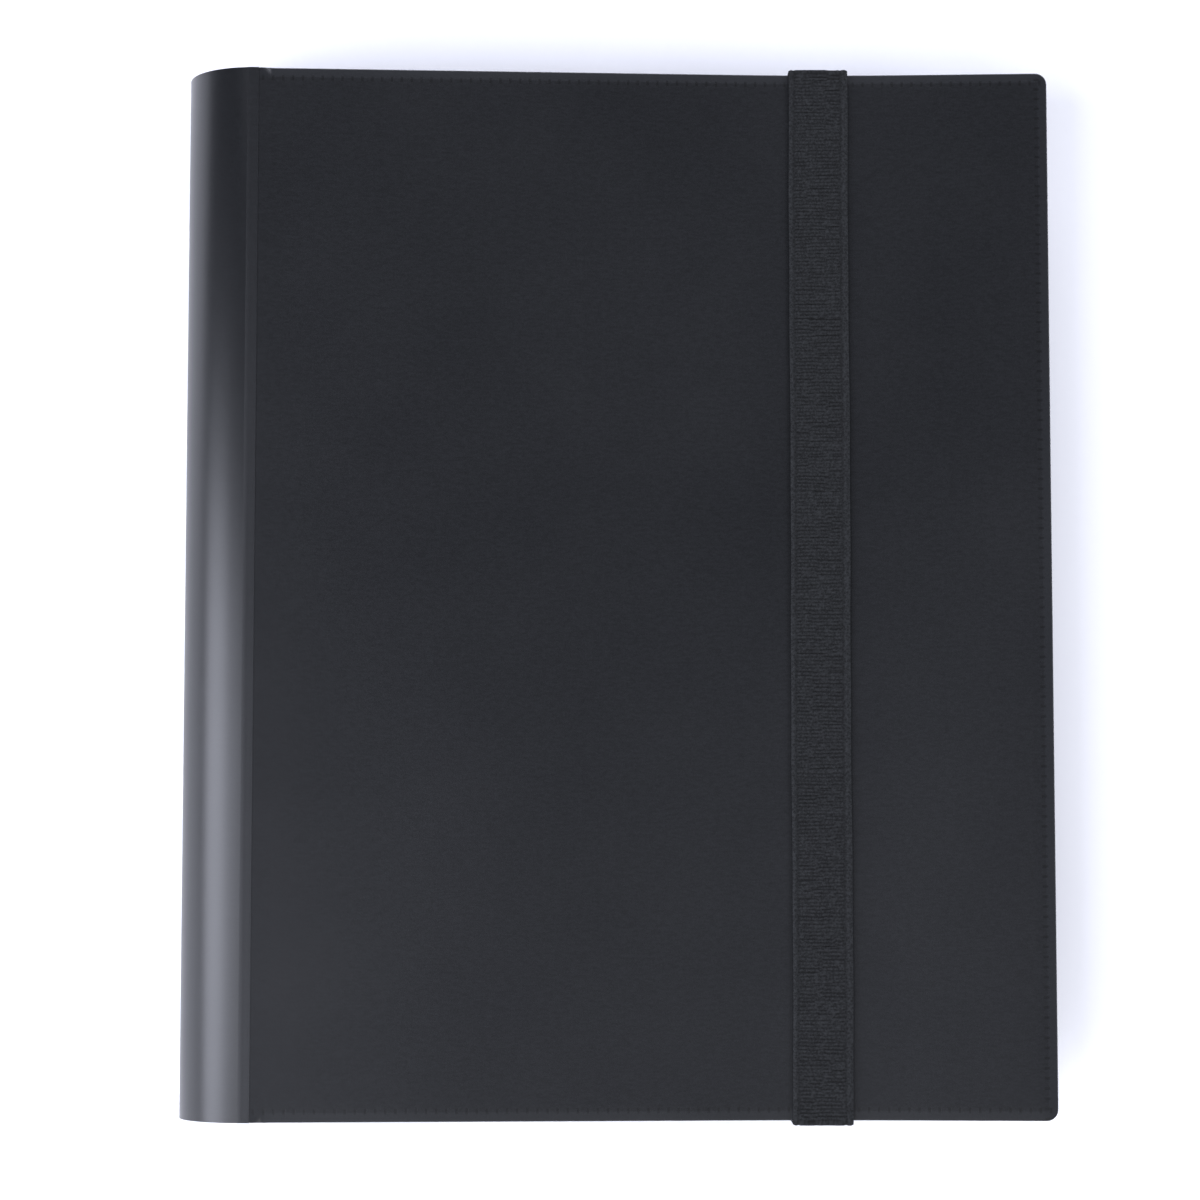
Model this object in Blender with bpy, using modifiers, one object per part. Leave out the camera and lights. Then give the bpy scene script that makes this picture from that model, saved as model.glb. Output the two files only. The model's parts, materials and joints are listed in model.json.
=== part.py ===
"""A4 ring binder with a half-round spine and an elastic strap, closed, lying on its back cover.

Metres, +Z up. X runs from the spine (-X) to the fore edge (+X), and Y from foot to head.
The origin is under the middle of the closed binder, on the surface that it lies on.
"""

import math

import bmesh
import bpy
import numpy as np
from mathutils import Matrix, Vector

MM = 0.001
FIT_GAP = 0.3 * MM                # between pieces that touch

# The whole binder
HEIGHT = 318 * MM                 # head to foot
WIDTH = 264 * MM                  # round of the spine to the fore edge
SPINE_RADIUS = 21.5 * MM          # outside of the half-round spine
CORNER_RADIUS = 3.5 * MM          # of the covers, at the fore edge

# A cover is two plastic sheets welded together round a stiff board
SHEET = 0.5 * MM
BOARD = 1.8 * MM
PANEL = 2 * SHEET + BOARD + 2 * FIT_GAP
SEAM_WIDTH = 2.8 * MM             # flat weld round the edge of a cover
SEAM_SLOPE = 1.2 * MM             # from the weld up to the full thickness
BOARD_INSET = SEAM_WIDTH + SEAM_SLOPE + 0.6 * MM
SEAM_CORNER = 3.0 * MM            # corner of the raised part inside the weld
CUT_CORNER = 0.5 * MM             # corner of a sheet that is cut square, at the crease

# The creases, where the sheets bend
CREASE_X = SPINE_RADIUS - WIDTH / 2
BACK_AXIS_Z = PANEL / 2
FRONT_AXIS_Z = 2 * SPINE_RADIUS - PANEL / 2
CREASE_GAP = 1.4 * MM             # from a crease's axis to the edge of a cover
CREASE_STRIP = (2.2 * MM, 0.6 * MM)
SPINE_BOARD = 0.8 * MM
SPINE_END_ARC = 1.5 * MM          # from a crease's axis to the end of the spine, along the arc
SPINE_STEPS = 24

# The strap, and the valley that it presses into the front cover
STRAP_X = 62 * MM
STRAP_WIDTH = 18 * MM
STRAP_THICKNESS = 1.1 * MM
STRAP_STANDOFF = 0.35 * MM        # from the cover to the strap
STRAP_CORNER = 1.4 * MM           # outside of its bend over a cover's edge
STRAP_BEND_STEPS = 3
VALLEY_DROP = 11.3 * MM           # below the crease, where the two slopes would meet
FORE_EDGE_DROP = 8.4 * MM         # of the fore edge below the crease
VALLEY_HALF = 28 * MM             # half the length over which the two slopes blend
VALLEY_STEPS = 7

# The strap's ends, held inside the back cover
TAIL = (STRAP_WIDTH, 24 * MM, 0.8 * MM)
TAIL_PLATE = (STRAP_WIDTH, 6 * MM, 0.6 * MM)
TAIL_PLATE_INSET = 18 * MM        # from the cover's edge to the plate's middle
TAIL_POCKET = (21 * MM, 27 * MM)  # cut out of the board
TAIL_NOTCH_WIDTH = STRAP_WIDTH + 1.2 * MM

# The D-ring mechanism
RINGS_X = -84 * MM                # middle of the housing
RING_PITCH = 80 * MM
RING_COUNT = 4
WIRE_RADIUS = 1.9 * MM
LEG_OFFSET = 9 * MM               # of a ring's legs from the middle
LEG_FOOT_Z = 8 * MM
RING_TOP_Z = 32 * MM              # middle of the wire
BOW_OFFSET = 12 * MM              # of the curved side from the middle
BOW_Z = 21 * MM
RING_CORNER = 6 * MM
TIP_GAP = 0.15 * MM               # of each half's tip from the middle

HOUSING_LENGTH = 282 * MM
HOUSING_SHEET = 0.9 * MM
HOUSING_HALF = 13.6 * MM          # to the middle of its side wall
HOUSING_LIP = 2.7 * MM
HOUSING_FOOT_Z = 5.45 * MM
HOUSING_SHOULDER_Z = 8.0 * MM
HOUSING_TOP_Z = 11.2 * MM
ARCH_STEPS = 12

BLADE_PIVOT = (12.4 * MM, 7.2 * MM)
BLADE_SHEET = 1.2 * MM
BLADE_OUTER = 0.2 * MM            # past its pivot
BLADE_MIDDLE_GAP = 0.45 * MM      # of each blade from the middle
BLADE_REST = math.radians(6)      # each blade slopes down to the middle while the rings are shut

PIN_RADIUS = 1.1 * MM
PIN_LENGTH = 28.8 * MM
LEVER_Y = 136 * MM
LEVER_Z = 7.2 * MM
LEVER_WIDTH = 6 * MM
HUB_RADIUS = 2.2 * MM
LEVER_LEAN = math.radians(22)
TOE_REACH = 4.5 * MM
TOE_DROP = 2.15 * MM
TOE_SHEET = 1.2 * MM
BLADE_TO_LEVER = 2.9 * MM         # from the lever's pin to the blades' ends
NOTCH_WIDTH = 11.2 * MM           # of the opening that a lever stands in

RIVET_Y = 100 * MM
RIVET_SHANK = 2.0 * MM
RIVET_POST = 2.7 * MM
RIVET_HEAD = (5.5 * MM, 0.9 * MM)
RIVET_CAP = (4.0 * MM, 1.5 * MM)

binder = bpy.data.collections.new("ring_binder")
cutters = bpy.data.collections.new("cutters")


def clear_scene():
    for obj in list(bpy.data.objects):
        bpy.data.objects.remove(obj, do_unlink=True)
    bpy.context.scene.collection.children.link(binder)
    bpy.context.scene.collection.children.link(cutters)


def make_material(name, colour, roughness, metallic=0.0):
    material = bpy.data.materials.new(name)
    material.use_nodes = True
    shader = material.node_tree.nodes["Principled BSDF"]
    shader.inputs["Base Color"].default_value = (*colour, 1.0)
    shader.inputs["Roughness"].default_value = roughness
    shader.inputs["Metallic"].default_value = metallic
    return material


def add_axis(name, position):
    """An empty on a joint's axis, which that joint's pieces are parented to."""
    axis = bpy.data.objects.new(name, None)
    axis.location = position
    axis.empty_display_size = 10 * MM
    binder.objects.link(axis)
    return axis


def place(obj, axis=None, material=None, collection=binder):
    """Link an object, and hang it on its joint's axis without moving it."""
    collection.objects.link(obj)
    if material:
        obj.data.materials.append(material)
    if axis:
        obj.parent = axis
        obj.matrix_parent_inverse = Matrix.Translation(-axis.location)
    return obj


def object_from(bm, name):
    mesh = bpy.data.meshes.new(name)
    bm.to_mesh(mesh)
    bm.free()
    return bpy.data.objects.new(name, mesh)


def box(name, size, centre, bevel=0.0):
    bm = bmesh.new()
    bmesh.ops.create_cube(bm, size=1.0)
    bmesh.ops.scale(bm, vec=size, verts=bm.verts)
    bmesh.ops.translate(bm, vec=centre, verts=bm.verts)
    obj = object_from(bm, name)
    if bevel:
        edge = obj.modifiers.new("rounded_edges", "BEVEL")
        edge.width = bevel
        edge.segments = 2
    return obj


def cylinder(name, radius, depth, centre, axis="Z", segments=16, flatten_y=1.0):
    bm = bmesh.new()
    bmesh.ops.create_cone(bm, cap_ends=True, segments=segments, radius1=radius,
                          radius2=radius, depth=depth)
    bmesh.ops.scale(bm, vec=(1.0, flatten_y, 1.0), verts=bm.verts)
    if axis == "X":
        bmesh.ops.rotate(bm, matrix=Matrix.Rotation(math.pi / 2, 3, "Y"), verts=bm.verts)
    bmesh.ops.translate(bm, vec=centre, verts=bm.verts)
    obj = object_from(bm, name)
    smooth_round_sides(obj)
    return obj


def smooth_round_sides(obj):
    obj.data.shade_smooth()
    obj.data.set_sharp_from_angle(angle=math.radians(35))


def add_cutter(obj):
    place(obj, collection=cutters)
    obj.hide_render = True
    obj.display_type = "WIRE"
    return obj


def cut(obj, cutter):
    add_boolean(obj, cutter, "DIFFERENCE")


def add_boolean(obj, other, operation):
    modifier = obj.modifiers.new(other.name, "BOOLEAN")
    modifier.operation = operation
    modifier.solver = "EXACT"
    modifier.object = other


def thicken(obj, thickness):
    wall = obj.modifiers.new("wall", "SOLIDIFY")
    wall.thickness = thickness
    wall.offset = 0.0
    wall.use_even_offset = True
    return obj


# ---------------------------------------------------------------- covers

def valley_height(x):
    """Height of the front cover against its crease: down to the strap, and up a little past it."""
    slope_in = VALLEY_DROP / (STRAP_X - CREASE_X)
    slope_out = (VALLEY_DROP - FORE_EDGE_DROP) / (WIDTH / 2 - STRAP_X)
    t = x - STRAP_X
    if t <= -VALLEY_HALF:
        return -VALLEY_DROP - slope_in * t
    if t >= VALLEY_HALF:
        return -VALLEY_DROP + slope_out * t
    into = t + VALLEY_HALF
    start = -VALLEY_DROP + slope_in * VALLEY_HALF
    return start - slope_in * into + (slope_in + slope_out) * into ** 2 / (4 * VALLEY_HALF)


FRONT_STATIONS = [STRAP_X + VALLEY_HALF * (2 * i / VALLEY_STEPS - 1)
                  for i in range(VALLEY_STEPS + 1)]
FRONT_PROFILE_X = [CREASE_X, *FRONT_STATIONS, WIDTH / 2]
FRONT_PROFILE_Z = [valley_height(x) for x in FRONT_PROFILE_X]


def panel_outline(inset, crease_radius, fore_radius, steps=4):
    """A cover's outline, anticlockwise, pulled in by inset from the cut edges."""
    low_x = CREASE_X + CREASE_GAP + inset
    high_x = WIDTH / 2 - inset
    half_y = HEIGHT / 2 - inset
    corners = (
        (high_x, -half_y, fore_radius, -90, (-1, 1)),
        (high_x, half_y, fore_radius, 0, (-1, -1)),
        (low_x, half_y, crease_radius, 90, (1, -1)),
        (low_x, -half_y, crease_radius, 180, (1, 1)),
    )
    points = []
    for x, y, radius, start, inward in corners:
        centre = (x + inward[0] * radius, y + inward[1] * radius)
        for step in range(steps + 1):
            angle = math.radians(start + 90 * step / steps)
            points.append((centre[0] + radius * math.cos(angle),
                           centre[1] + radius * math.sin(angle)))
    return points


def add_loop(bm, points, z):
    verts = [bm.verts.new((x, y, z)) for x, y in points]
    return [bm.edges.new((verts[i - 1], verts[i])) for i in range(len(verts))]


def bend_to_valley(bm):
    """Give a flat cover layer the front cover's slopes."""
    for x in FRONT_STATIONS:
        everything = list(bm.verts) + list(bm.edges) + list(bm.faces)
        bmesh.ops.bisect_plane(bm, geom=everything, plane_co=(x, 0, 0), plane_no=(1, 0, 0))
    for vert in bm.verts:
        vert.co.z += float(np.interp(vert.co.x, FRONT_PROFILE_X, FRONT_PROFILE_Z))


def cover_layer(name, levels, axis_z, thickness, bent):
    """One layer of a cover, from its rings of (inset, crease corner, fore corner, height)."""
    bm = bmesh.new()
    loops = [add_loop(bm, panel_outline(inset, crease, fore), axis_z + height)
             for inset, crease, fore, height in levels]
    for outer, inner in zip(loops, loops[1:]):
        bmesh.ops.bridge_loops(bm, edges=outer + inner)
    bmesh.ops.contextual_create(bm, geom=loops[-1])
    if bent:
        bend_to_valley(bm)
    bmesh.ops.recalc_face_normals(bm, faces=bm.faces)
    return thicken(object_from(bm, name), thickness)


def sheet_levels(side):
    """A welded sheet: side is 1 for the sheet above the board and -1 for the one below it."""
    weld = side * (FIT_GAP + SHEET) / 2
    plateau = side * (PANEL - SHEET) / 2
    return [
        (0.0, CUT_CORNER, CORNER_RADIUS, weld),
        (SEAM_WIDTH, SEAM_CORNER, SEAM_CORNER, weld),
        (SEAM_WIDTH + SEAM_SLOPE, SEAM_CORNER, SEAM_CORNER, plateau),
    ]


BOARD_LEVELS = [(BOARD_INSET, SEAM_CORNER, SEAM_CORNER, 0.0)]


def make_front_cover(axis, plastic, greyboard):
    outer = cover_layer("front_outer_sheet", sheet_levels(1), FRONT_AXIS_Z, SHEET, True)
    board = cover_layer("front_board", BOARD_LEVELS, FRONT_AXIS_Z, BOARD, True)
    liner = cover_layer("front_liner", sheet_levels(-1), FRONT_AXIS_Z, SHEET, True)
    place(outer, axis, plastic)
    place(board, axis, greyboard)
    place(liner, axis, plastic)


def make_back_cover(plastic, greyboard):
    outer = cover_layer("back_outer_sheet", sheet_levels(-1), BACK_AXIS_Z, SHEET, False)
    board = cover_layer("back_board", BOARD_LEVELS, BACK_AXIS_Z, BOARD, False)
    liner = cover_layer("back_liner", sheet_levels(1), BACK_AXIS_Z, SHEET, False)
    for end in (-1, 1):
        rivet_at = (RINGS_X, end * RIVET_Y)
        bore = cylinder("rivet_bore", RIVET_SHANK + FIT_GAP, 4 * PANEL, (*rivet_at, 0))
        recess_depth = RIVET_HEAD[1] + FIT_GAP
        board_foot = BACK_AXIS_Z - BOARD / 2
        recess = cylinder("rivet_recess", RIVET_HEAD[0] + FIT_GAP, 2 * recess_depth,
                          (*rivet_at, board_foot))
        pocket = box("tail_pocket", (TAIL_POCKET[0], 2 * TAIL_POCKET[1], 2 * PANEL),
                     (STRAP_X, end * HEIGHT / 2, BACK_AXIS_Z))
        notch_depth = SEAM_WIDTH + SEAM_SLOPE
        notch = box("tail_notch", (TAIL_NOTCH_WIDTH, 2 * notch_depth, PANEL),
                    (STRAP_X, end * HEIGHT / 2, BACK_AXIS_Z + PANEL / 2))
        for cutter in (bore, recess, pocket, notch):
            add_cutter(cutter)
        cut(board, bore)
        cut(board, recess)
        cut(board, pocket)
        cut(liner, bore)
        cut(liner, notch)
    place(outer, None, plastic)
    place(board, None, greyboard)
    place(liner, None, plastic)


def spine_layer(name, radius, thickness):
    """Part of a tube round the spine's axis, from just past one crease to just before the other."""
    end_angle = SPINE_END_ARC / radius
    centre = Vector((CREASE_X, 0, SPINE_RADIUS))
    start_x = CREASE_X - radius * math.sin(end_angle)
    start_z = SPINE_RADIUS + radius * math.cos(end_angle)
    bm = bmesh.new()
    foot = bm.verts.new((start_x, -HEIGHT / 2, start_z))
    head = bm.verts.new((start_x, HEIGHT / 2, start_z))
    edge = bm.edges.new((foot, head))
    bmesh.ops.spin(bm, geom=[foot, head, edge], cent=centre, axis=(0, -1, 0),
                   angle=math.pi - 2 * end_angle, steps=SPINE_STEPS)
    bmesh.ops.recalc_face_normals(bm, faces=bm.faces)
    obj = thicken(object_from(bm, name), thickness)
    smooth_round_sides(obj)
    return obj


def make_spine(axis, plastic, greyboard):
    outer_radius = SPINE_RADIUS - SHEET / 2
    board_radius = SPINE_RADIUS - SHEET - FIT_GAP - SPINE_BOARD / 2
    liner_radius = board_radius - SPINE_BOARD / 2 - FIT_GAP - SHEET / 2
    place(spine_layer("spine_outer_sheet", outer_radius, SHEET), axis, plastic)
    place(spine_layer("spine_board", board_radius, SPINE_BOARD), axis, greyboard)
    place(spine_layer("spine_liner", liner_radius, SHEET), axis, plastic)


def make_crease(name, z, axis, plastic):
    """The thin web of plastic that bends at a crease."""
    width, thickness = CREASE_STRIP
    strip = box(name, (width, HEIGHT, thickness), (CREASE_X, 0, z))
    place(strip, axis, plastic)


# ---------------------------------------------------------------- strap

def strap_outline():
    """One side of the strap's band, head half, from the middle of the front to the back cover."""
    face_z = 2 * SPINE_RADIUS + valley_height(STRAP_X) + STRAP_STANDOFF
    outer_z = face_z + STRAP_THICKNESS
    outer_y = HEIGHT / 2 + STRAP_STANDOFF + STRAP_THICKNESS
    inner_radius = STRAP_CORNER - STRAP_THICKNESS
    centre = (outer_y - STRAP_CORNER, outer_z - STRAP_CORNER)

    def bend(radius):
        angles = [math.pi / 2 * step / STRAP_BEND_STEPS for step in range(STRAP_BEND_STEPS + 1)]
        return [(centre[0] + radius * math.sin(a), centre[1] + radius * math.cos(a))
                for a in angles]

    outside = bend(STRAP_CORNER) + [(outer_y, BACK_AXIS_Z)]
    inside = bend(inner_radius) + [(outer_y - STRAP_THICKNESS, BACK_AXIS_Z)]
    return outside, inside


def make_strap(axis, elastic):
    """A flat band over the front cover and down past both edges to the back cover."""
    outside, inside = strap_outline()
    foot_to_head = [(-y, z) for y, z in reversed(outside)] + outside
    head_to_foot = list(reversed(inside)) + [(-y, z) for y, z in inside]
    bm = bmesh.new()
    verts = [bm.verts.new((STRAP_X - STRAP_WIDTH / 2, y, z))
             for y, z in foot_to_head + head_to_foot]
    side = bm.faces.new(verts)
    walls = bmesh.ops.extrude_face_region(bm, geom=[side])
    moved = [v for v in walls["geom"] if isinstance(v, bmesh.types.BMVert)]
    bmesh.ops.translate(bm, vec=(STRAP_WIDTH, 0, 0), verts=moved)
    bmesh.ops.recalc_face_normals(bm, faces=bm.faces)
    place(object_from(bm, "elastic_strap"), axis, elastic)


def make_strap_ends(elastic, steel):
    tail_z = BACK_AXIS_Z + FIT_GAP / 2 + TAIL[2] / 2
    plate_z = tail_z - TAIL[2] / 2 - FIT_GAP - TAIL_PLATE[2] / 2
    for end, label in ((1, "head"), (-1, "foot")):
        tail_y = end * (HEIGHT / 2 - TAIL[1] / 2)
        tail = box(f"strap_tail_{label}", TAIL, (STRAP_X, tail_y, tail_z))
        plate_y = end * (HEIGHT / 2 - TAIL_PLATE_INSET)
        plate = box(f"strap_plate_{label}", TAIL_PLATE, (STRAP_X, plate_y, plate_z))
        place(tail, None, elastic)
        place(plate, None, steel)


# ---------------------------------------------------------------- ring mechanism

def ring_positions():
    first = -RING_PITCH * (RING_COUNT - 1) / 2
    return [first + RING_PITCH * i for i in range(RING_COUNT)]


def housing_profile():
    """Middle line of the housing's bent sheet: lip, wall, arch, wall, lip."""
    rise = HOUSING_TOP_Z - HOUSING_SHOULDER_Z
    radius = (HOUSING_HALF ** 2 + rise ** 2) / (2 * rise)
    reach = math.asin(HOUSING_HALF / radius)
    arch = []
    for step in range(ARCH_STEPS + 1):
        angle = reach * (2 * step / ARCH_STEPS - 1)
        arch.append((radius * math.sin(angle), HOUSING_TOP_Z - radius * (1 - math.cos(angle))))
    lip = HOUSING_HALF - HOUSING_LIP
    left = [(-lip, HOUSING_FOOT_Z), (-HOUSING_HALF, HOUSING_FOOT_Z)]
    right = [(HOUSING_HALF, HOUSING_FOOT_Z), (lip, HOUSING_FOOT_Z)]
    return left + arch + right


def make_housing(steel):
    bm = bmesh.new()
    verts = [bm.verts.new((RINGS_X + u, -HOUSING_LENGTH / 2, z)) for u, z in housing_profile()]
    edges = [bm.edges.new(pair) for pair in zip(verts, verts[1:])]
    walls = bmesh.ops.extrude_edge_only(bm, edges=edges)
    moved = [v for v in walls["geom"] if isinstance(v, bmesh.types.BMVert)]
    bmesh.ops.translate(bm, vec=(0, HOUSING_LENGTH, 0), verts=moved)
    bmesh.ops.recalc_face_normals(bm, faces=bm.faces)
    housing = thicken(object_from(bm, "ring_housing"), HOUSING_SHEET)
    slot_radius = WIRE_RADIUS + 1.3 * MM
    slot_flatten = (WIRE_RADIUS + 0.6 * MM) / slot_radius
    slot_depth = 6 * MM
    slot_shift = 0.5 * MM         # outwards, the way a leg swings
    for y in ring_positions():
        for side in (-1, 1):
            slot_x = RINGS_X + side * (LEG_OFFSET + slot_shift)
            slot_z = HOUSING_SHOULDER_Z + slot_depth / 2 + FIT_GAP
            slot = cylinder("leg_slot", slot_radius, slot_depth, (slot_x, y, slot_z),
                            segments=12, flatten_y=slot_flatten)
            cut(housing, add_cutter(slot))
    for end in (-1, 1):
        bore = cylinder("cap_bore", RIVET_SHANK + FIT_GAP, slot_depth,
                        (RINGS_X, end * RIVET_Y, HOUSING_TOP_Z))
        notch = box("lever_notch", (NOTCH_WIDTH, 2 * (HOUSING_LENGTH / 2 - LEVER_Y + 5 * MM),
                                    2 * slot_depth),
                    (RINGS_X, end * HOUSING_LENGTH / 2, HOUSING_TOP_Z))
        pin_bore = cylinder("pin_bore", PIN_RADIUS + FIT_GAP, 2 * PIN_LENGTH,
                            (RINGS_X, end * LEVER_Y, LEVER_Z), axis="X", segments=12)
        for cutter in (bore, notch, pin_bore):
            cut(housing, add_cutter(cutter))
    place(housing, None, steel)


def make_blade(name, side, axis, steel):
    """A hinged plate under the arch: side is -1 for the one next to the spine."""
    pivot_u, pivot_z = BLADE_PIVOT
    width = pivot_u + BLADE_OUTER - BLADE_MIDDLE_GAP
    length = 2 * (LEVER_Y - BLADE_TO_LEVER)
    middle = BLADE_OUTER - width / 2
    blade = box(name, (width, length, BLADE_SHEET), (side * middle, 0, 0))
    tilt = Matrix.Rotation(-side * BLADE_REST, 4, "Y")
    pivot = Matrix.Translation((RINGS_X + side * pivot_u, 0, pivot_z))
    blade.data.transform(pivot @ tilt)
    for end in (-1, 1):
        notch = cylinder("post_notch", RIVET_POST + 0.7 * MM, 10 * MM,
                         (RINGS_X, end * RIVET_Y, pivot_z))
        cut(blade, add_cutter(notch))
    place(blade, axis, steel)


def ring_half_points(side):
    """Bezier knots (u, z), each with its two handles, from the blade to the tip."""
    foot = side * LEG_OFFSET
    tip = side * TIP_GAP
    if side < 0:
        bow = -BOW_OFFSET
        return [
            ((foot, LEG_FOOT_Z), (foot, LEG_FOOT_Z), (foot, LEG_FOOT_Z + 6 * MM)),
            ((bow, BOW_Z), (bow, BOW_Z - 5 * MM), (bow, BOW_Z + 6 * MM)),
            ((tip, RING_TOP_Z), (tip - 6.5 * MM, RING_TOP_Z), (tip, RING_TOP_Z)),
        ]
    turn_z = RING_TOP_Z - RING_CORNER
    handle = RING_CORNER * 0.55   # makes a Bezier quarter turn round
    turned = foot - RING_CORNER
    return [
        ((foot, LEG_FOOT_Z), (foot, LEG_FOOT_Z), (foot, LEG_FOOT_Z + 4 * MM)),
        ((foot, turn_z), (foot, turn_z - 4 * MM), (foot, turn_z + handle)),
        ((turned, RING_TOP_Z), (turned + handle, RING_TOP_Z), (turned - 1 * MM, RING_TOP_Z)),
        ((tip, RING_TOP_Z), (tip + 1 * MM, RING_TOP_Z), (tip, RING_TOP_Z)),
    ]


def make_ring_halves(label, side, axis, steel):
    curve = bpy.data.curves.new(f"{label}_ring_half", "CURVE")
    curve.dimensions = "3D"
    curve.resolution_u = 6
    curve.bevel_depth = WIRE_RADIUS
    curve.bevel_resolution = 2
    curve.use_fill_caps = True
    curve.materials.append(steel)
    knots = ring_half_points(side)
    spline = curve.splines.new("BEZIER")
    spline.bezier_points.add(len(knots) - 1)
    for point, (at, before, after) in zip(spline.bezier_points, knots):
        point.co = (at[0], 0, at[1])
        point.handle_left = (before[0], 0, before[1])
        point.handle_right = (after[0], 0, after[1])
    for number, y in enumerate(ring_positions(), start=1):
        half = bpy.data.objects.new(f"{label}_ring_{number}", curve)
        half.location = (RINGS_X, y, 0)
        place(half, axis)


def lever_mesh():
    """A lever round its pin at the origin, leaning out towards +Y, with a toe under the blades."""
    hub = cylinder("lever", HUB_RADIUS, LEVER_WIDTH, (0, 0, 0), axis="X")
    arm = box("lever_arm", (LEVER_WIDTH, 2.2 * MM, 10 * MM), (0, 0, 5 * MM))
    pad = box("lever_pad", (14 * MM, 2.6 * MM, 12 * MM), (0, 0, 14 * MM), bevel=1 * MM)
    for piece in (arm, pad):
        piece.rotation_euler.x = -LEVER_LEAN
    toe_length = TOE_REACH - 0.5 * MM
    toe = box("lever_toe", (LEVER_WIDTH, toe_length, TOE_SHEET),
              (0, -TOE_REACH + toe_length / 2, -TOE_DROP - TOE_SHEET / 2))
    web = box("lever_web", (LEVER_WIDTH, 1.6 * MM, 2 * MM), (0, -1.3 * MM, -2.2 * MM))
    bore = cylinder("lever_bore", PIN_RADIUS + FIT_GAP, 2 * LEVER_WIDTH, (0, 0, 0), axis="X",
                    segments=12)
    helpers = (arm, pad, toe, web)
    place(hub, collection=cutters)
    for helper in helpers:
        add_boolean(hub, add_cutter(helper), "UNION")
    cut(hub, add_cutter(bore))
    bpy.context.view_layer.update()
    evaluated = hub.evaluated_get(bpy.context.evaluated_depsgraph_get())
    mesh = bpy.data.meshes.new_from_object(evaluated)
    for helper in (hub, bore, *helpers):
        bpy.data.objects.remove(helper, do_unlink=True)
    mesh.name = "lever"
    return mesh


def make_levers(axes, steel):
    mesh = lever_mesh()
    mesh.materials.clear()
    mesh.materials.append(steel)
    for end, label in ((1, "head"), (-1, "foot")):
        lever = bpy.data.objects.new(f"{label}_lever", mesh)
        lever.location = (RINGS_X, end * LEVER_Y, LEVER_Z)
        if end < 0:
            lever.rotation_euler.z = math.pi
        place(lever, axes[label])
        pin = cylinder(f"{label}_lever_pin", PIN_RADIUS, PIN_LENGTH,
                       (RINGS_X, end * LEVER_Y, LEVER_Z), axis="X", segments=12)
        place(pin, None, steel)


def make_rivets(steel):
    """A turned rivet: its head is let into the board under the outer sheet, and its post
    carries the housing."""
    head_foot = BACK_AXIS_Z - BOARD / 2
    head_radius, head_height = RIVET_HEAD
    cap_radius, cap_height = RIVET_CAP
    post_foot = PANEL + FIT_GAP
    post_top = HOUSING_TOP_Z - HOUSING_SHEET / 2 - FIT_GAP
    cap_foot = HOUSING_TOP_Z + HOUSING_SHEET / 2 + FIT_GAP
    profile = [
        (0.0, cap_foot + cap_height),
        (cap_radius * 0.55, cap_foot + cap_height * 0.85),
        (cap_radius * 0.9, cap_foot + cap_height * 0.4),
        (cap_radius, cap_foot),
        (RIVET_SHANK, cap_foot),
        (RIVET_SHANK, post_top),
        (RIVET_POST, post_top),
        (RIVET_POST, post_foot),
        (RIVET_SHANK, post_foot),
        (RIVET_SHANK, head_foot + head_height),
        (head_radius, head_foot + head_height),
        (head_radius, head_foot),
        (0.0, head_foot),
    ]
    for end, label in ((1, "head"), (-1, "foot")):
        bm = bmesh.new()
        verts = [bm.verts.new((r, 0, z)) for r, z in profile]
        for pair in zip(verts, verts[1:]):
            bm.edges.new(pair)
        rivet = object_from(bm, f"{label}_rivet")
        turn = rivet.modifiers.new("turned", "SCREW")
        turn.steps = 16
        turn.render_steps = 16
        turn.use_merge_vertices = True
        turn.merge_threshold = 0.01 * MM
        rivet.location = (RINGS_X, end * RIVET_Y, 0)
        place(rivet, None, steel)


def build():
    clear_scene()
    plastic = make_material("charcoal_polypropylene", (0.021, 0.021, 0.025), 0.55)
    greyboard = make_material("greyboard", (0.23, 0.21, 0.19), 0.9)
    elastic = make_material("black_elastic_webbing", (0.012, 0.012, 0.013), 0.9)
    steel = make_material("nickel_plated_steel", (0.62, 0.61, 0.59), 0.22, 1.0)

    spine_axis = add_axis("spine_axis", (CREASE_X, 0, BACK_AXIS_Z))
    front_axis = add_axis("front_cover_axis", (CREASE_X, 0, FRONT_AXIS_Z))
    strap_axis = add_axis("strap_axis", (STRAP_X, 0, BACK_AXIS_Z))
    pivot_u, pivot_z = BLADE_PIVOT
    left_axis = add_axis("left_rings_axis", (RINGS_X - pivot_u, 0, pivot_z))
    right_axis = add_axis("right_rings_axis", (RINGS_X + pivot_u, 0, pivot_z))
    lever_axes = {
        "head": add_axis("head_lever_axis", (RINGS_X, LEVER_Y, LEVER_Z)),
        "foot": add_axis("foot_lever_axis", (RINGS_X, -LEVER_Y, LEVER_Z)),
    }

    make_back_cover(plastic, greyboard)
    make_crease("back_crease", BACK_AXIS_Z, None, plastic)
    make_spine(spine_axis, plastic, greyboard)
    make_crease("front_crease", FRONT_AXIS_Z, spine_axis, plastic)
    make_front_cover(front_axis, plastic, greyboard)
    make_strap(strap_axis, elastic)
    make_strap_ends(elastic, steel)
    make_housing(steel)
    make_blade("left_blade", -1, left_axis, steel)
    make_blade("right_blade", 1, right_axis, steel)
    make_ring_halves("left", -1, left_axis, steel)
    make_ring_halves("right", 1, right_axis, steel)
    make_levers(lever_axes, steel)
    make_rivets(steel)


build()
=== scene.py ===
"""Looks of an A4 ring binder with a half-round spine and an elastic strap."""

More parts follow.
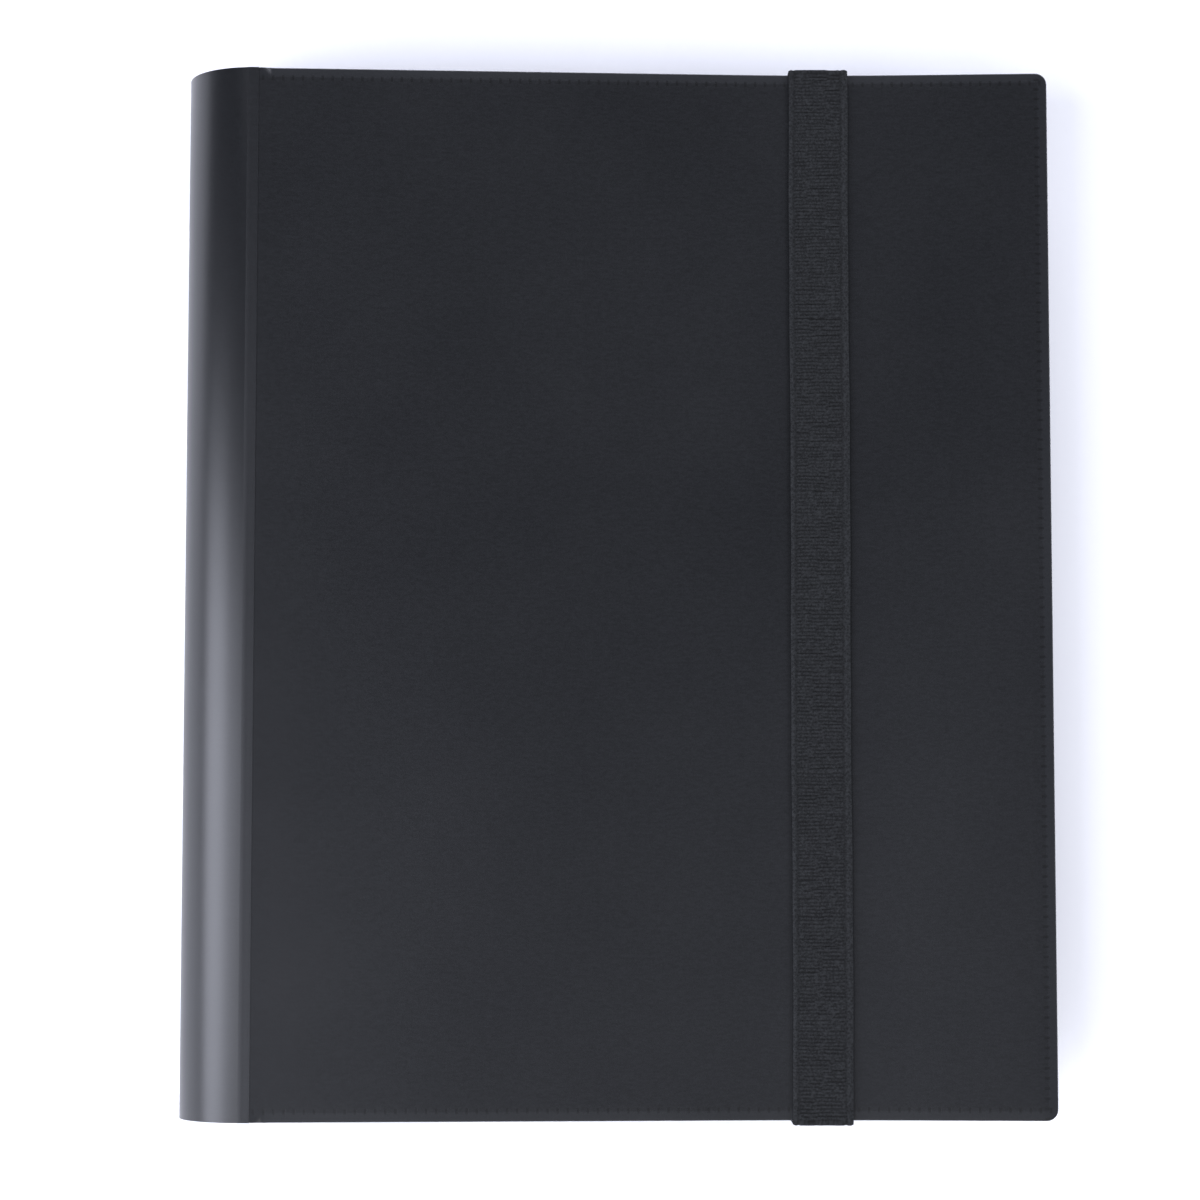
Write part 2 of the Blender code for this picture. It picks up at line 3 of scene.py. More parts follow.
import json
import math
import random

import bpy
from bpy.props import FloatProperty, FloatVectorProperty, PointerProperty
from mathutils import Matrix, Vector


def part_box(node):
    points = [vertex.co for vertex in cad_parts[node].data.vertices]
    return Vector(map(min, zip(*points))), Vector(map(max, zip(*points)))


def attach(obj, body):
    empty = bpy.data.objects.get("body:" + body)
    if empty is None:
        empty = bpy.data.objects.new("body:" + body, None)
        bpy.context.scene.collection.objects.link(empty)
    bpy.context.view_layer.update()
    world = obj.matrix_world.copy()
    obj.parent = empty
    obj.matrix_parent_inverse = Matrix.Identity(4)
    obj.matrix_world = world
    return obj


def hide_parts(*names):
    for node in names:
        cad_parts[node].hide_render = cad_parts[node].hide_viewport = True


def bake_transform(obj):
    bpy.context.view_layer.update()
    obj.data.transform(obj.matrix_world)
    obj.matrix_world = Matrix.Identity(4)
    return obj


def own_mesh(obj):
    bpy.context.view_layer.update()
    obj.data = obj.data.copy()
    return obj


bl_info = {
    "name": "Ring Binder",
    "version": (1, 0, 0),
    "blender": (4, 5, 0),
    "location": "View3D > Sidebar > Binder",
    "description": "Models the covers, spine, strap and ring mechanism of a ring binder",
    "category": "Add Mesh",
}

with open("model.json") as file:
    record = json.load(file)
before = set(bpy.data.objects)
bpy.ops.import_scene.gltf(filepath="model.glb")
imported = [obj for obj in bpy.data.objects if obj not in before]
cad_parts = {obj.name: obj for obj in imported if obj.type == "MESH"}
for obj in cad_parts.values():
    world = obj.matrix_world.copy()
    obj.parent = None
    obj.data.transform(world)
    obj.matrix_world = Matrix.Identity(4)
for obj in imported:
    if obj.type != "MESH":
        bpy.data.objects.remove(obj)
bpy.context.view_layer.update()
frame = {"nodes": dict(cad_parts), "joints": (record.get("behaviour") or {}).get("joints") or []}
MM = 0.001

JOINTS = {joint["name"]: joint for joint in frame["joints"]}
CREASE_X, _, BACK_AXIS_Z = JOINTS["spine_hinge"]["pos_m"]
FRONT_AXIS_Z = JOINTS["front_cover_hinge"]["pos_m"][2]
STRAP_X = JOINTS["strap_release"]["pos_m"][0]
PANEL = 2 * BACK_AXIS_Z                       # thickness of a cover
SPINE_RADIUS = (FRONT_AXIS_Z + BACK_AXIS_Z) / 2
FORE_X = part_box("back_outer_sheet")[1][0]
HALF_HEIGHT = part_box("back_outer_sheet")[1][1]
HEIGHT = 2 * HALF_HEIGHT
STRAP_LOW, STRAP_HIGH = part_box("elastic_strap")
RINGS_X = (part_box("ring_housing")[0][0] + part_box("ring_housing")[1][0]) / 2

VALLEY_DROP = 11.3 * MM          # below the crease, where the front cover's two slopes would meet
FORE_EDGE_DROP = 8.4 * MM
VALLEY_HALF = 28 * MM


def hex_colour(text):
    """Linear RGBA of an sRGB hex value."""
    channels = [int(text[i:i + 2], 16) / 255 for i in (0, 2, 4)]
    linear = [c / 12.92 if c <= 0.04045 else ((c + 0.055) / 1.055) ** 2.4 for c in channels]
    return (*linear, 1.0)


def length_property(name, description, default_mm):
    return FloatProperty(name=name, description=description, default=default_mm * MM,
                         subtype="DISTANCE", unit="LENGTH")


def colour_property(name, description, text):
    return FloatVectorProperty(name=name, description=description, default=hex_colour(text),
                               size=4, min=0.0, max=1.0, subtype="COLOR")


class BinderSizes(bpy.types.PropertyGroup):
    """Sizes that the frame leaves open"""

    skin: length_property("Sheet", "Thickness of a cover's welded sheet", 0.75)
    corner: length_property("Corner", "Radius of a cover's corners at the fore edge", 3.5)
    weld_width: length_property("Weld", "Width of the welded rim of a cover", 2.9)
    crease_gap: length_property("Crease", "From a crease's axis to the edge of a cover", 2.0)
    groove: length_property("Crease groove", "Depth of the line pressed in at a crease", 0.008)
    rib_pitch: length_property("Rib pitch", "From one rib of the elastic to the next", 1.1)
    rib_height: length_property("Rib height", "Height of the ribs of the elastic", 0.28)
    selvedge: length_property("Selvedge", "Width of the plain edges of the elastic", 2.1)
    wire: length_property("Ring wire", "Diameter of the wire of the rings", 3.8)


class BinderFinish(bpy.types.PropertyGroup):
    """Colours of the finishes"""

    plastic: colour_property("Polypropylene", "Colour of the cover sheets", "111214")
    elastic: colour_property("Elastic", "Colour of the strap", "1B1C1D")
    nickel: colour_property("Nickel", "Colour of the plated steel", "CFCCC6")
    greyboard: colour_property("Greyboard", "Colour of the stiffening board", "8F8A82")
    floor: colour_property("Floor", "Colour of the floor", "F4F4F6")


# ---------------------------------------------------------------- modelling helpers

def only(obj):
    """Make one object the selected and active one."""
    if bpy.context.object and bpy.context.object.mode != "OBJECT":
        bpy.ops.object.mode_set(mode="OBJECT")
    bpy.ops.object.select_all(action="DESELECT")
    obj.select_set(True)
    bpy.context.view_layer.objects.active = obj
    return obj


def take_new(name):
    """Name the object that an operator has just added, and apply its place."""
    obj = only(bpy.context.object)
    obj.name = name
    obj.data.name = name
    bpy.ops.object.transform_apply(location=True, rotation=True, scale=True)
    return obj


def select_where(obj, kind, test):
    """Open edit mode with the elements selected whose middle passes the test."""
    only(obj)
    bpy.ops.object.mode_set(mode="EDIT")
    bpy.ops.mesh.select_mode(type=kind)
    bpy.ops.mesh.select_all(action="DESELECT")
    bpy.ops.object.mode_set(mode="OBJECT")
    points = obj.data.vertices
    if kind == "VERT":
        for vert in points:
            vert.select = test(vert.co)
    elif kind == "EDGE":
        for edge in obj.data.edges:
            edge.select = test((points[edge.vertices[0]].co + points[edge.vertices[1]].co) / 2)
    else:
        for face in obj.data.polygons:
            face.select = test(face.center)
    bpy.ops.object.mode_set(mode="EDIT")


def edit_all(obj):
    only(obj)
    bpy.ops.object.mode_set(mode="EDIT")
    bpy.ops.mesh.select_all(action="SELECT")


def leave_edit():
    bpy.ops.object.mode_set(mode="OBJECT")


def join(pieces):
    only(pieces[0])
    for piece in pieces[1:]:
        piece.select_set(True)
    bpy.ops.object.join()
    return pieces[0]


def apply_modifier(obj, kind, **settings):
    only(obj)
    modifier = obj.modifiers.new(kind.lower(), kind)
    for key, value in settings.items():
        setattr(modifier, key, value)
    bpy.ops.object.modifier_apply(modifier=modifier.name)
    return obj


def thicken_inwards(obj, thickness, even=True):
    return apply_modifier(obj, "SOLIDIFY", thickness=thickness, offset=-1.0, use_even_offset=even)


def round_edges(obj, width, segments=2, angle=40):
    return apply_modifier(obj, "BEVEL", width=width, segments=segments,
                          limit_method="ANGLE", angle_limit=math.radians(angle))


def smooth(obj, angle=30):
    only(obj)
    bpy.ops.object.shade_smooth_by_angle(angle=math.radians(angle))
    return obj


def finish(obj, body, slot, material, *nodes):
    """Give a piece its finish and its body, and let it stand for its CAD nodes."""
    obj.data.materials.clear()
    obj.data.materials.append(material)
    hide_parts(*nodes)
    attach(obj, body)
    return obj


def dress_nodes(finish_name, *nodes):
    """Give CAD nodes that stay as they are the finish of that name."""
    for node in nodes:
        frame["nodes"][node].data.materials.clear()
        frame["nodes"][node].data.materials.append(material(finish_name))


def copy_node(node, name):
    """A welded copy of a CAD node, with the seams between its triangles dissolved."""
    source = frame["nodes"][node]
    copy = bpy.data.objects.new(name, source.data.copy())
    bpy.context.scene.collection.objects.link(copy)
    copy.data.transform(source.matrix_world)
    copy.data.name = name
    edit_all(copy)
    bpy.ops.mesh.remove_doubles(threshold=0.002 * MM)
    bpy.ops.mesh.dissolve_limited(angle_limit=math.radians(0.5))
    leave_edit()
    return copy


# ---------------------------------------------------------------- materials

WELD_STEP = 0.2 * MM              # half width of the step at the weld's inner edge
MARK_LINE = 0.35 * MM             # from the weld's inner edge to its line of marks
MARK_FADE = (1.0 * MM, 0.6 * MM)  # off that line, where a mark starts and where it is full
MARK_PITCH = 3.0                  # mm from one mark to the next
THREADS = (34.0, 720.0, 1.0)      # in the strap's width and length, about 0.53 mm apart
KNOTS = (26.0, 560.0, 1.0)        # in the strap's width and length, about 0.69 mm apart


def add_node(tree, kind, inputs=None, **settings):
    """Add a shader node with its settings. An input is a value, or a socket to link from."""
    node = tree.nodes.new(kind)
    for key, value in settings.items():
        setattr(node, key, value)
    for key, value in (inputs or {}).items():
        if isinstance(value, bpy.types.NodeSocket):
            tree.links.new(value, node.inputs[key])
        else:
            node.inputs[key].default_value = value
    return node


def new_material(name):
    material = bpy.data.materials.new(name)
    material.use_nodes = True
    tree = material.node_tree
    return material, tree, tree.nodes["Principled BSDF"]


def set_shader(shader, **values):
    for key, value in values.items():
        shader.inputs[key.replace("_", " ")].default_value = value


def per_mm(size_mm):
    """Scale of a texture whose pattern repeats about every size_mm."""
    return 1 / (size_mm * MM)


def object_point(tree):
    return add_node(tree, "ShaderNodeTexCoord").outputs["Object"]


def maths(tree, operation, a, b=0.0):
    node = add_node(tree, "ShaderNodeMath", {0: a, 1: b}, operation=operation)
    return node.outputs["Value"]


def ramp(tree, value, low, high):
    """0 at low and 1 at high."""
    node = add_node(tree, "ShaderNodeMapRange", {"Value": value, "From Min": low, "From Max": high},
                    interpolation_type="SMOOTHSTEP")
    return node.outputs["Result"]


def mix_colours(tree, factor, a, b):
    node = add_node(tree, "ShaderNodeMix", {0: factor, 6: a, 7: b}, data_type="RGBA")
    return node.outputs[2]


def scaled(colour, share):
    return (*[min(1.0, c * share) for c in colour[:3]], 1.0)


def weld_marks(tree, point):
    """Masks of the welded rim (for a painted highlight) and of the welding bar's marks inside it.
    """
    weld = bpy.context.scene.binder_sizes.weld_width
    split = add_node(tree, "ShaderNodeSeparateXYZ", {"Vector": point})
    from_fore = maths(tree, "SUBTRACT", FORE_X, split.outputs["X"])
    from_end = maths(tree, "SUBTRACT", HALF_HEIGHT, maths(tree, "ABSOLUTE", split.outputs["Y"]))
    marks = []
    for depth, along in ((from_fore, split.outputs["Y"]), (from_end, split.outputs["X"])):
        off_line = maths(tree, "ABSOLUTE", maths(tree, "SUBTRACT", depth, weld + MARK_LINE))
        on_line = ramp(tree, off_line, *MARK_FADE)
        turn = maths(tree, "MULTIPLY", along, 2 * math.pi * per_mm(MARK_PITCH))
        tick = ramp(tree, maths(tree, "SINE", turn), 0.5, 0.9)
        marks.append(maths(tree, "MULTIPLY", on_line, tick))
    from_edge = maths(tree, "MINIMUM", from_fore, from_end)
    # 1 on the welded strip, which gets a painted highlight
    rim_highlight = ramp(tree, from_edge, weld + WELD_STEP, weld - WELD_STEP)
    return rim_highlight, maths(tree, "MAXIMUM", *marks)


def make_polypropylene(name, welded):
    """Charcoal polypropylene sheet with an embossed sand grain: matte, with a soft broad gloss.

    The real grain is about 0.2 mm; it is drawn coarser, so that it shows.
    """
    colour = bpy.context.scene.binder_finish.plastic
    material, tree, shader = new_material(name)
    point = object_point(tree)
    grain = add_node(tree, "ShaderNodeTexNoise", {"Vector": point, "Scale": per_mm(0.55),
                                                  "Detail": 3.0, "Roughness": 0.65})
    stretched = add_node(tree, "ShaderNodeMapping", {"Vector": point, "Scale": (0.35, 1.0, 1.0)})
    lines = add_node(tree, "ShaderNodeTexNoise", {"Vector": stretched.outputs["Vector"],
                                                  "Scale": per_mm(0.8), "Detail": 2.0})
    cloud = add_node(tree, "ShaderNodeTexNoise", {"Vector": point, "Scale": per_mm(70.0),
                                                  "Detail": 2.0})
    texture = maths(tree, "ADD", maths(tree, "MULTIPLY", grain.outputs["Fac"], 0.6),
                    maths(tree, "MULTIPLY", lines.outputs["Fac"], 0.4))
    tint = mix_colours(tree, ramp(tree, texture, 0.32, 0.68), scaled(colour, 0.78),
                       scaled(colour, 1.3))
    dust_cell = add_node(tree, "ShaderNodeTexVoronoi", {"Vector": point, "Scale": per_mm(17.0)})
    chosen = add_node(tree, "ShaderNodeSeparateColor", {"Color": dust_cell.outputs["Color"]})
    near = ramp(tree, dust_cell.outputs["Distance"], 0.022, 0.008)
    few = ramp(tree, chosen.outputs["Red"], 0.80, 0.84)
    speck = maths(tree, "MULTIPLY", near, few)
    tint = mix_colours(tree, maths(tree, "MULTIPLY", speck, 0.5), tint, hex_colour("8A8A8C"))
    height = texture
    if welded:
        rim_highlight, tick_dents_and_shade = weld_marks(tree, point)
        # painted highlight: the welded rim is drawn lighter than the rest of the sheet
        tint = mix_colours(tree, maths(tree, "MULTIPLY", rim_highlight, 0.5), tint, scaled(colour, 1.9))
        # painted shade: the welding bar's marks are drawn dark as the shade in their dents; the
        # dents themselves are pressed in by the bump below
        tint = mix_colours(tree, maths(tree, "MULTIPLY", tick_dents_and_shade, 0.6), tint, scaled(colour, 0.1))
        height = maths(tree, "SUBTRACT", height, maths(tree, "MULTIPLY", tick_dents_and_shade, 0.6))
    gloss = maths(tree, "ADD", 0.27, maths(tree, "MULTIPLY", cloud.outputs["Fac"], 0.10))
    gloss = maths(tree, "ADD", gloss, maths(tree, "MULTIPLY", texture, 0.06))
    bump = add_node(tree, "ShaderNodeBump", {"Height": height, "Strength": 0.35,
                                             "Distance": 0.05 * MM})
    tree.links.new(tint, shader.inputs["Base Color"])
    tree.links.new(gloss, shader.inputs["Roughness"])
    tree.links.new(bump.outputs["Normal"], shader.inputs["Normal"])
    set_shader(shader, IOR=1.49)
    return material


def make_elastic():
    """Black braided polyester over rubber: dull, with a painted highlight on the raised threads.

    Real threads are about 0.3 mm; they are drawn coarser, so that they show.
    """
    colour = bpy.context.scene.binder_finish.elastic
    material, tree, shader = new_material("woven_elastic")
    uv = add_node(tree, "ShaderNodeTexCoord").outputs["UV"]
    threads = add_node(tree, "ShaderNodeMapping", {"Vector": uv, "Scale": THREADS})
    thread = add_node(tree, "ShaderNodeTexNoise", {"Vector": threads.outputs["Vector"],
                                                   "Scale": 1.0, "Detail": 2.0})
    knots = add_node(tree, "ShaderNodeMapping", {"Vector": uv, "Scale": KNOTS})
    knot = add_node(tree, "ShaderNodeTexVoronoi", {"Vector": knots.outputs["Vector"],
                                                   "Scale": 1.0})
    texture = maths(tree, "ADD", maths(tree, "MULTIPLY", thread.outputs["Fac"], 0.65),
                    maths(tree, "MULTIPLY", knot.outputs["Distance"], 0.45))
    # painted highlight and shade: the weave is drawn lighter where its threads stand up and darker
    # between them
    tint = mix_colours(tree, ramp(tree, texture, 0.25, 0.85), scaled(colour, 0.45),
                       scaled(colour, 1.75))
    # painted shade: the furrows between the ribs and the seam lines by the selvedges are drawn
    # nearly black
    furrow = add_node(tree, "ShaderNodeAttribute", attribute_name="furrow")
    tint = mix_colours(tree, furrow.outputs["Fac"], tint, scaled(colour, 0.05))
    bump = add_node(tree, "ShaderNodeBump", {"Height": texture, "Strength": 0.6,
                                             "Distance": 0.12 * MM})
    tree.links.new(tint, shader.inputs["Base Color"])
    tree.links.new(bump.outputs["Normal"], shader.inputs["Normal"])
    set_shader(shader, Roughness=0.7, Specular_IOR_Level=0.13)
    return material


def make_nickel(name, base_roughness):
    """Bright nickel plate over pressed steel: a warm grey mirror with faint drawing marks."""
    colour = bpy.context.scene.binder_finish.nickel
    material, tree, shader = new_material(name)
    point = object_point(tree)
    drawn = add_node(tree, "ShaderNodeMapping", {"Vector": point, "Scale": (1.0, 0.04, 1.0)})
    marks = add_node(tree, "ShaderNodeTexNoise", {"Vector": drawn.outputs["Vector"],
                                                  "Scale": per_mm(0.5), "Detail": 3.0})
    cloud = add_node(tree, "ShaderNodeTexNoise", {"Vector": point, "Scale": per_mm(9.0)})
    tint = mix_colours(tree, cloud.outputs["Fac"], scaled(colour, 0.9), scaled(colour, 1.05))
    gloss = maths(tree, "ADD", base_roughness, maths(tree, "MULTIPLY", marks.outputs["Fac"], 0.12))
    bump = add_node(tree, "ShaderNodeBump", {"Height": marks.outputs["Fac"], "Strength": 0.15,
                                             "Distance": 0.01 * MM})
    tree.links.new(tint, shader.inputs["Base Color"])
    tree.links.new(gloss, shader.inputs["Roughness"])
    tree.links.new(bump.outputs["Normal"], shader.inputs["Normal"])
    set_shader(shader, Metallic=1.0)
    return material


def make_greyboard():
    """Recycled greyboard: soft, with short fibres and darker flecks."""
    colour = bpy.context.scene.binder_finish.greyboard
    material, tree, shader = new_material("recycled_greyboard")
    point = object_point(tree)
    fibres = add_node(tree, "ShaderNodeTexNoise", {"Vector": point, "Scale": per_mm(1.2),
                                                   "Detail": 4.0})
    tint = mix_colours(tree, fibres.outputs["Fac"], scaled(colour, 0.7), scaled(colour, 1.2))
    bump = add_node(tree, "ShaderNodeBump", {"Height": fibres.outputs["Fac"], "Strength": 0.3,
                                             "Distance": 0.05 * MM})
    tree.links.new(tint, shader.inputs["Base Color"])
    tree.links.new(bump.outputs["Normal"], shader.inputs["Normal"])
    set_shader(shader, Roughness=0.92)
    return material


MATERIALS = {}


def material(name):
    """The finish of that name, made when it is first asked for."""
    makers = {
        "welded": lambda: make_polypropylene("welded_polypropylene", True),
        "plain": lambda: make_polypropylene("embossed_polypropylene", False),
        "elastic": make_elastic,
        "nickel": lambda: make_nickel("nickel_plated_steel", 0.12),
        "satin_nickel": lambda: make_nickel("satin_nickel_steel", 0.22),
        "greyboard": make_greyboard,
    }
    if name not in MATERIALS:
        MATERIALS[name] = makers[name]()
    return MATERIALS[name]


# ---------------------------------------------------------------- covers

def valley_height(x):
    """Height of the front cover against its crease: down to the strap, and up a little past it."""
    slope_in = VALLEY_DROP / (STRAP_X - CREASE_X)
    slope_out = (VALLEY_DROP - FORE_EDGE_DROP) / (FORE_X - STRAP_X)
    t = x - STRAP_X
    if t <= -VALLEY_HALF:
        return -VALLEY_DROP - slope_in * t
    if t >= VALLEY_HALF:
        return -VALLEY_DROP + slope_out * t
    into = t + VALLEY_HALF
    start = -VALLEY_DROP + slope_in * VALLEY_HALF
    return start - slope_in * into + (slope_in + slope_out) * into ** 2 / (4 * VALLEY_HALF)


MID_GAP = 0.07 * MM               # keeps the edge walls of a cover's two sheets apart
CREASE_SHARE = 0.06               # the rim keeps this share of its inset along the crease
NEAR_CREASE = (0.4, 0.8, 2, 3, 4, 5, 7, 10)   # cross cuts of a skin, mm from its crease edge
FLAT_CUT = 9                      # mm between the cross cuts of the flat part
VALLEY_CUTS = 10                  # cross cuts in each half of the valley
OUTER_CUT = 7                     # mm between the cross cuts past the valley
WALL_REACH, FACE_REACH = 0.8, 5   # mm in which the rim's wall and face rise from the crease


def smoothstep(value, low, high):
    t = min(1.0, max(0.0, (value - low) / (high - low)))
    return t * t * (3 - 2 * t)


def rim_levels():
    """Rings of a cover's skin from the cut edge inwards, as (inset, depth under the flat part)."""
    weld = bpy.context.scene.binder_sizes.weld_width
    return [
        (0.0, PANEL / 2 - MID_GAP),
        (0.0, 0.95 * MM),
        (0.08 * MM, 0.62 * MM),
        (0.35 * MM, 0.36 * MM),
        (weld - WELD_STEP, 0.10 * MM),
        (weld + WELD_STEP, 0.07 * MM),
        (weld + 2.2 * MM, 0.0),
    ]


def add_plate(inset, depth):
    """A flat plate with a cover's outline, pulled in by inset, with its corners rounded."""
    sizes = bpy.context.scene.binder_sizes
    low_x = CREASE_X + sizes.crease_gap + CREASE_SHARE * inset
    high_x = FORE_X - inset
    half_y = HALF_HEIGHT - inset
    bpy.ops.mesh.primitive_plane_add(size=1.0, location=((low_x + high_x) / 2, 0, -depth))
    bpy.context.object.scale = (high_x - low_x, 2 * half_y, 1.0)
    plate = take_new("plate")
    fore_radius = sizes.corner - 0.2 * inset
    crease_radius = min(0.4 * MM + inset, 3.0 * MM)
    for radius, is_fore in ((fore_radius, True), (crease_radius, False)):
        select_where(plate, "VERT", lambda co: (co.x > 0.9 * high_x + 0.1 * low_x) == is_fore
                     and (is_fore or abs(co.x - low_x) < 0.1 * MM))
        bpy.ops.mesh.bevel(offset=radius, offset_type="OFFSET", affect="VERTICES", segments=8,
                           profile=0.5)
    leave_edit()
    return plate


def drop_face(plate):
    edit_all(plate)
    bpy.ops.mesh.delete(type="ONLY_FACE")
    leave_edit()
    return plate


def cut_stations(start):
    """Where a skin is cut across, so that it can bend: close together at the crease and valley."""
    stations = [start + step * MM for step in NEAR_CREASE]
    stations += [stations[-1] + step * FLAT_CUT * MM for step in range(1, 14)]
    stations += [STRAP_X + step * VALLEY_HALF / VALLEY_CUTS
                 for step in range(-VALLEY_CUTS, VALLEY_CUTS + 1)]
    stations += [STRAP_X + VALLEY_HALF + step * OUTER_CUT * MM for step in range(1, 6)]
    return stations


def add_skin(name, side, axis_z, bent):
    """One sheet of a cover: side is 1 for the sheet over the board and -1 for the one under it."""
    levels = rim_levels()
    rings = []
    for outer, inner in zip(levels, levels[1:]):
        ring = join([drop_face(add_plate(*outer)), drop_face(add_plate(*inner))])
        edit_all(ring)
        bpy.ops.mesh.bridge_edge_loops()
        leave_edit()
        rings.append(ring)
    skin = join([add_plate(*levels[-1]), *rings])
    skin.name = name
    skin.data.name = name
    edit_all(skin)
    bpy.ops.mesh.remove_doubles(threshold=0.005 * MM)
    bpy.ops.mesh.normals_make_consistent(inside=False)
    leave_edit()
    upward = sum(face.normal.z * face.area for face in skin.data.polygons)
    fade_low = CREASE_X + bpy.context.scene.binder_sizes.crease_gap
    for station in cut_stations(fade_low):
        edit_all(skin)
        bpy.ops.mesh.bisect(plane_co=(station, 0, 0), plane_no=(1, 0, 0))
        leave_edit()
    for vert in skin.data.vertices:
        reach = (WALL_REACH if -vert.co.z > 0.7 * MM else FACE_REACH) * MM
        depth = -vert.co.z * smoothstep(vert.co.x, fade_low, fade_low + reach)
        vert.co.z = axis_z + side * (PANEL / 2 - depth)
        if bent:
            vert.co.z += valley_height(vert.co.x)
    edit_all(skin)
    bpy.ops.mesh.remove_doubles(threshold=0.003 * MM)
    leave_edit()
    if (upward > 0) != (side > 0):
        edit_all(skin)
        bpy.ops.mesh.flip_normals()
        leave_edit()
    thicken_inwards(skin, bpy.context.scene.binder_sizes.skin, even=False)
    return smooth(skin)


class BINDER_OT_covers(bpy.types.Operator):
    """Model the outer sheet and the liner of both covers"""

    bl_idname = "binder.covers"
    bl_label = "Covers"

    def execute(self, context):
        for name, side, axis_z, body in (
                ("front_outer_sheet", 1, FRONT_AXIS_Z, "front_cover"),
                ("front_liner", -1, FRONT_AXIS_Z, "front_cover"),
                ("back_outer_sheet", -1, BACK_AXIS_Z, "back_cover"),
                ("back_liner", 1, BACK_AXIS_Z, "back_cover")):
            skin = add_skin(f"{name}_skin", side, axis_z, body == "front_cover")
            finish(skin, body, "cover_plastic", material("welded"), name)
        dress_nodes("greyboard", "front_board", "back_board")
        return {"FINISHED"}


# ---------------------------------------------------------------- spine and creases

SPINE_STEP = 2                    # degrees
SPINE_END = 4                     # degrees from a crease to the end of the spine
INNER_LAYER = 0.5 * MM            # thickness of the board and the liner in the spine
WEB_THICKNESS = 1.1 * MM
GROOVE_HALF = 0.8 * MM            # half width of the line pressed in at a crease
LINER_END = 0.75 * MM             # from a crease's axis to the inner web, at the spine


def add_spine_layer(name, radius, thickness):
    """A half tube along Y that stops just short of both creases."""
    bpy.ops.mesh.primitive_circle_add(vertices=360 // SPINE_STEP, radius=radius,
                                      location=(CREASE_X, -HALF_HEIGHT, SPINE_RADIUS),
                                      rotation=(math.pi / 2, 0, 0))
    layer = take_new(name)
    last_x = CREASE_X - radius * math.sin(math.radians(SPINE_END - SPINE_STEP / 2))
    select_where(layer, "VERT", lambda co: co.x > last_x)
    bpy.ops.mesh.delete(type="VERT")
    bpy.ops.mesh.select_all(action="SELECT")
    bpy.ops.mesh.extrude_region_move(TRANSFORM_OT_translate={"value": (0, HEIGHT, 0)})
    leave_edit()
    first = layer.data.polygons[0]
    outwards = first.center - Vector((CREASE_X, first.center.y, SPINE_RADIUS))
    if first.normal.dot(outwards) < 0:
        edit_all(layer)
        bpy.ops.mesh.flip_normals()
        leave_edit()
    thicken_inwards(layer, thickness)
    select_where(layer, "EDGE", lambda co: abs(co.y) > HALF_HEIGHT - 0.01 * MM
                 and math.hypot(co.x - CREASE_X, co.z - SPINE_RADIUS) > radius - 0.1 * MM)
    bpy.ops.mesh.bevel(offset=0.15 * MM, affect="EDGES", segments=2)
    leave_edit()
    return smooth(layer)


def flatten_with_spine(piece):
    """Give the piece a mesh of its own."""
    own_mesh(piece)


class BINDER_OT_spine(bpy.types.Operator):
    """Model the three layers of the half-round spine"""

    bl_idname = "binder.spine"
    bl_label = "Spine"

    def execute(self, context):
        for node, slot, finish_name in (
                ("spine_outer_sheet", "cover_plastic", "plain"),
                ("spine_board", "greyboard", "greyboard"),
                ("spine_liner", "cover_plastic", "plain")):
            low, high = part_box(node)
            radius = (high[2] - low[2]) / 2
            radius = min(SPINE_RADIUS, radius / math.cos(math.radians(SPINE_END)))
            thickness = INNER_LAYER
            if node == "spine_outer_sheet":
                radius = SPINE_RADIUS
                thickness = context.scene.binder_sizes.skin
            layer = add_spine_layer(f"{node}_shell", radius, thickness)
            finish(layer, "spine", slot, material(finish_name), node)
            flatten_with_spine(layer)
        return {"FINISHED"}


def add_web(name, axis_z, side, inner):
    """A strip of sheet over a crease. side is 1 at the front crease and -1 at the back one."""
    sizes = bpy.context.scene.binder_sizes
    low = -SPINE_RADIUS * math.sin(math.radians(SPINE_END))
    high = sizes.crease_gap
    bpy.ops.mesh.primitive_grid_add(x_subdivisions=28, y_subdivisions=1, size=1.0,
                                    location=(CREASE_X + (low + high) / 2, 0, 0))
    bpy.context.object.scale = (high - low, HEIGHT, 1.0)
    web = take_new(name)
    for vert in web.data.vertices:
        across = vert.co.x - CREASE_X
        groove = sizes.groove * math.exp(-(across / GROOVE_HALF) ** 2)
        if inner:
            reach = smoothstep(across, low, high)
            height = -(LINER_END + (PANEL / 2 - LINER_END) * reach) + groove
        else:
            roundness = min(0.0, across) ** 2 / (2 * SPINE_RADIUS)
            height = PANEL / 2 - roundness - groove
        vert.co.z = axis_z + side * height
    faces_up = web.data.polygons[0].normal.z > 0
    if faces_up != ((side > 0) != inner):
        edit_all(web)
        bpy.ops.mesh.flip_normals()
        leave_edit()
    thicken_inwards(web, WEB_THICKNESS)
    return smooth(web, 60)


class BINDER_OT_creases(bpy.types.Operator):
    """Model the webs over the creases between the spine and the two covers"""

    bl_idname = "binder.creases"
    bl_label = "Creases"

    def execute(self, context):
        for label, axis_z, side, bodies in (
                ("front", FRONT_AXIS_Z, 1, ("spine", "front_cover")),
                ("back", BACK_AXIS_Z, -1, ("spine", "back_cover"))):
            for inner in (False, True):
                place = "inner" if inner else "outer"
                web = add_web(f"{label}_crease_{place}_web", axis_z, side, inner)
                web.data.materials.append(material("plain"))
                if not inner:
                    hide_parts(f"{label}_crease")
                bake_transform(web)
        return {"FINISHED"}


# ---------------------------------------------------------------- strap

